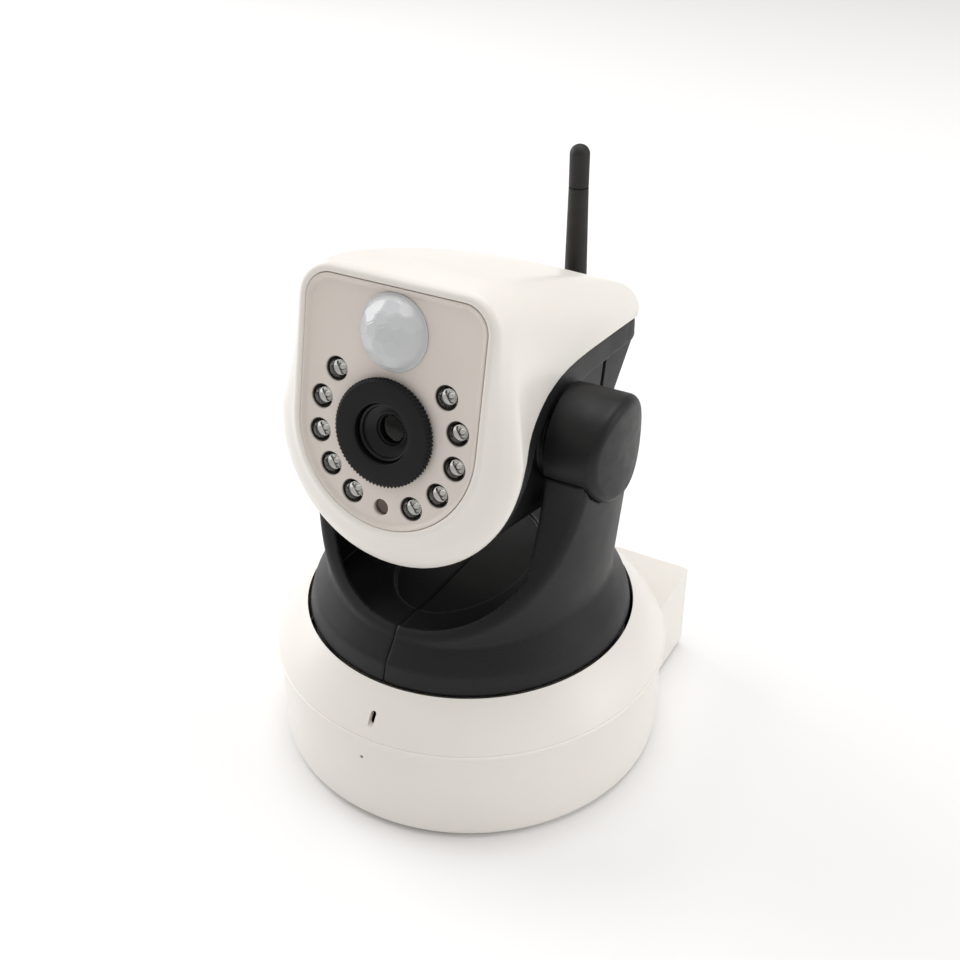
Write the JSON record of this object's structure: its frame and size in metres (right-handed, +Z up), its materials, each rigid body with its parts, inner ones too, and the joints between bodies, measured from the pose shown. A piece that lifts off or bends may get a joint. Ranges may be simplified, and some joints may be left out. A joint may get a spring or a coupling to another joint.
{
  "type": "pan and tilt baby monitor camera",
  "caption": "Round white base, black fork on a turntable, white tilting camera head with lens, infrared lamps and motion sensor, and a folding rear antenna.",
  "frame": {"origin": "on the pan axis, in the plane that the rubber feet stand on, which is also the mouth of the tripod thread", "axes": "+Z up along the pan axis, -Y the way the camera looks with pan at zero, +X to the right of someone who stands in front of the camera and looks at it along +Y"},
  "size_m": [0.105, 0.1156, 0.1433],
  "materials": {
    "white_shell": "warm white moulded plastic with a soft gloss",
    "front_panel": "slightly greyer warm white plastic, satin",
    "black_body": "charcoal plastic with a fine sparkling grain",
    "black_drum": "charcoal plastic, smoother satin",
    "focus_black": "satin black plastic",
    "rubber": "soft black rubber",
    "connector_black": "plain black plastic",
    "brass": "turned brass",
    "steel": "plated steel",
    "motor_case": "plated motor can",
    "board": "green circuit board",
    "nylon": "natural nylon",
    "lamp_clear": "clear resin",
    "lens_glass": "coated glass",
    "motion_lens": "milky polyethylene",
    "light_sensor": "reddish brown glazed cell",
    "sensor_can": "plated can"
  },
  "bodies": {
    "base": {"base_lower_shell": "white_shell", "connector_housing": "white_shell", "base_upper_shell": "white_shell", "rubber_feet": "rubber", "tripod_insert": "brass", "base_screws": "steel", "bearing_plate": "steel", "thrust_washer": "nylon", "plate_screws": "steel", "main_board": "board", "rj45_jack": "steel", "rj45_contacts": "brass", "dc_jack": "connector_black", "card_slot": "steel", "reset_switch": "connector_black", "speaker": "steel", "microphone": "connector_black", "pan_motor": "motor_case", "motor_screws": "steel", "antenna_connector": "brass"},
    "pan_drive": {"pan_pinion": "nylon"},
    "card": {"memory_card": "connector_black"},
    "reset": {"reset_button": "connector_black"},
    "yoke": {"pan_gear": "nylon", "pan_turntable": "nylon", "pan_clip": "steel", "yoke_right_half": "black_body", "yoke_left_half": "black_body", "yoke_screws": "steel", "tilt_drum_right": "black_drum", "tilt_drum_left": "black_drum", "tilt_axle_right": "black_drum", "tilt_axle_left": "black_drum", "tilt_gear": "nylon"},
    "head": {"head_front_shell": "white_shell", "head_rear_cover": "black_body", "head_screws": "steel", "front_panel": "front_panel", "ir_leds": "lamp_clear", "light_sensor": "light_sensor", "lamp_board": "board", "pir_lens": "motion_lens", "pir_sensor": "sensor_can", "lens_holder": "focus_black", "image_sensor": "sensor_can", "sensor_board": "board", "spacers": "steel", "tilt_motor": "motor_case", "tilt_bracket": "steel", "tilt_bush_right": "nylon", "tilt_bush_left": "nylon"},
    "tilt_drive": {"tilt_pinion": "nylon"},
    "focus": {"focus_ring": "focus_black", "lens_barrel": "focus_black", "lens_glass": "lens_glass"},
    "antenna_swivel": {"antenna_knuckle": "connector_black", "antenna_pin": "steel"},
    "antenna": {"antenna_whip": "rubber", "antenna_tip_cap": "rubber"}
  },
  "joints": [
    {"name": "pan", "type": "hinge", "parent": "base", "child": "yoke", "pos_m": [0, 0, 0], "axis": [0, 0, 1], "range_deg": [-177, 177]},
    {"name": "tilt", "type": "hinge", "parent": "yoke", "child": "head", "pos_m": [0, -0.001, 0.095], "axis": [-1, 0, 0], "range_deg": [-27, 65]},
    {"name": "pan_pinion_spin", "type": "hinge", "parent": "base", "child": "pan_drive", "pos_m": [-0.0241, 0, 0], "axis": [0, 0, 1], "range_deg": [-836, 836]},
    {"name": "tilt_pinion_spin", "type": "hinge", "parent": "head", "child": "tilt_drive", "pos_m": [0, 0.01155, 0.10025], "axis": [-1, 0, 0], "range_deg": [-78, 187]},
    {"name": "focus_turn", "type": "hinge", "parent": "head", "child": "focus", "pos_m": [0, -0.03549, 0.10552], "axis": [0, -0.977, 0.213], "range_deg": [-180, 180]},
    {"name": "card_slide", "type": "slide", "parent": "base", "child": "card", "axis": [0, 1, 0], "range_m": [0, 0.014]},
    {"name": "reset_press", "type": "slide", "parent": "base", "child": "reset", "axis": [0, 0, 1], "range_m": [0, 0.0006], "stiffness_N_per_m": 300},
    {"name": "antenna_turn", "type": "hinge", "parent": "base", "child": "antenna_swivel", "pos_m": [0, 0.0585, 0.015], "axis": [0, 1, 0], "range_deg": [-90, 90]},
    {"name": "antenna_fold", "type": "hinge", "parent": "antenna_swivel", "child": "antenna", "pos_m": [0, 0.0585, 0.015], "axis": [-1, 0, 0], "range_deg": [0, 90]}
  ],
  "couplings": [
    {"joint": "pan_pinion_spin", "follows": "pan", "ratio": -4.7143},
    {"joint": "tilt_pinion_spin", "follows": "tilt", "ratio": 2.8571}
  ]
}
